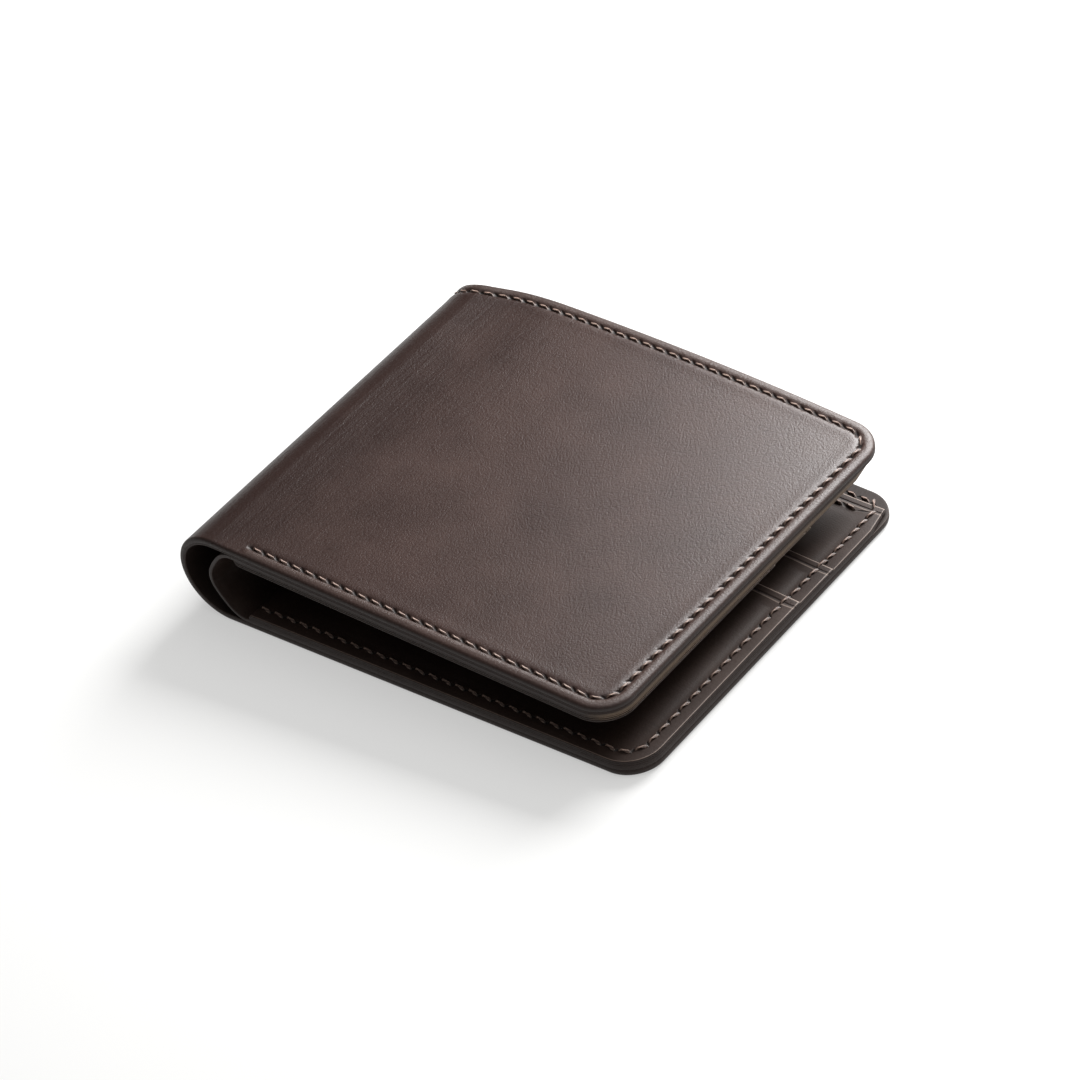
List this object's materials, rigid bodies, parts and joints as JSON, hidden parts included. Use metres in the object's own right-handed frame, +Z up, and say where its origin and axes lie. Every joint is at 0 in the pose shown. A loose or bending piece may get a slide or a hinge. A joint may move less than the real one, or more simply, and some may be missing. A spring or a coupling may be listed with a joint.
{
  "type": "bifold wallet",
  "caption": "Slim leather bifold wallet, folded shut, with a rounded spine, lining, bill compartment and stacked card pockets.",
  "frame": {"origin": "centre of the bottom of the bounding box of the folded wallet, on the outer face of the lower half", "axes": "+X from the rounded spine to the opening edges, +Y from the sewn near edge to the open bill mouth, +Z up out of the lower half, which lies flat"},
  "size_m": [0.113, 0.092, 0.0209],
  "materials": {
    "outer_leather": "satin full-grain, dark brown",
    "inner_leather": "satin smooth-grained, dark brown",
    "lining": "matt thin leather lining, dark brown",
    "thread": "waxed twisted thread, light brown"
  },
  "bodies": {
    "lower_half": {"lower_shell_leather": "outer_leather", "lower_shell_lining": "lining", "lower_bill_divider": "inner_leather", "lower_card_panel": "inner_leather", "lower_card_slot_upper": "inner_leather", "lower_card_slot_bottom": "inner_leather", "lower_perimeter_seam": "thread", "lower_pocket_seam": "thread", "lower_mouth_seam": "thread", "lower_panel_top_seam": "thread", "lower_pocket_side_seam": "thread"},
    "upper_half": {"upper_shell_leather": "outer_leather", "upper_shell_lining": "lining", "upper_bill_divider": "inner_leather", "upper_card_panel": "inner_leather", "upper_card_slot_upper": "inner_leather", "upper_card_slot_bottom": "inner_leather", "upper_perimeter_seam": "thread", "upper_pocket_seam": "thread", "upper_mouth_seam": "thread", "upper_panel_top_seam": "thread", "upper_pocket_side_seam": "thread"},
    "spine_slat_1": {"spine_leather_1": "outer_leather", "spine_lining_1": "lining", "spine_mouth_seam_1": "thread"},
    "spine_slat_2": {"spine_leather_2": "outer_leather", "spine_lining_2": "lining", "spine_mouth_seam_2": "thread"},
    "divider_slat_1": {"divider_fold_1": "inner_leather"},
    "divider_slat_2": {"divider_fold_2": "inner_leather"},
    "divider_slat_3": {"divider_fold_3": "inner_leather"},
    "divider_slat_4": {"divider_fold_4": "inner_leather"},
    "divider_slat_5": {"divider_fold_5": "inner_leather"}
  },
  "joints": [
    {"name": "shell_fold_1", "type": "hinge", "parent": "lower_half", "child": "spine_slat_1", "pos_m": [-0.05136, 0, 0.00145], "axis": [0, -1, 0], "range_deg": [0, 61.07]},
    {"name": "shell_fold_2", "type": "hinge", "parent": "spine_slat_1", "child": "spine_slat_2", "pos_m": [-0.0565, 0, 0.01074], "axis": [0, -1, 0], "range_deg": [0, 61.07]},
    {"name": "shell_fold_3", "type": "hinge", "parent": "spine_slat_2", "child": "upper_half", "pos_m": [-0.05085, 0, 0.01973], "axis": [0, -1, 0], "range_deg": [0, 61.07]},
    {"name": "divider_fold_joint_1", "type": "hinge", "parent": "lower_half", "child": "divider_slat_1", "pos_m": [-0.04541, 0, -0.00224], "axis": [0, -1, 0], "range_deg": [0, 29.65]},
    {"name": "divider_fold_joint_2", "type": "hinge", "parent": "divider_slat_1", "child": "divider_slat_2", "pos_m": [-0.05208, 0, 0.00272], "axis": [0, -1, 0], "range_deg": [0, 41.32]},
    {"name": "divider_fold_joint_3", "type": "hinge", "parent": "divider_slat_2", "child": "divider_slat_3", "pos_m": [-0.05448, 0, 0.01069], "axis": [0, -1, 0], "range_deg": [0, 41.32]},
    {"name": "divider_fold_joint_4", "type": "hinge", "parent": "divider_slat_3", "child": "divider_slat_4", "pos_m": [-0.05164, 0, 0.01851], "axis": [0, -1, 0], "range_deg": [0, 41.32]},
    {"name": "divider_fold_joint_5", "type": "hinge", "parent": "divider_slat_4", "child": "divider_slat_5", "pos_m": [-0.0447, 0, 0.02309], "axis": [0, -1, 0], "range_deg": [0, 29.65]}
  ],
  "couplings": [
    {"joint": "shell_fold_2", "follows": "shell_fold_1", "ratio": 1},
    {"joint": "shell_fold_3", "follows": "shell_fold_1", "ratio": 1},
    {"joint": "divider_fold_joint_1", "follows": "shell_fold_1", "ratio": 0.48537},
    {"joint": "divider_fold_joint_2", "follows": "shell_fold_1", "ratio": 0.67642},
    {"joint": "divider_fold_joint_3", "follows": "shell_fold_1", "ratio": 0.67642},
    {"joint": "divider_fold_joint_4", "follows": "shell_fold_1", "ratio": 0.67642},
    {"joint": "divider_fold_joint_5", "follows": "shell_fold_1", "ratio": 0.48537}
  ]
}
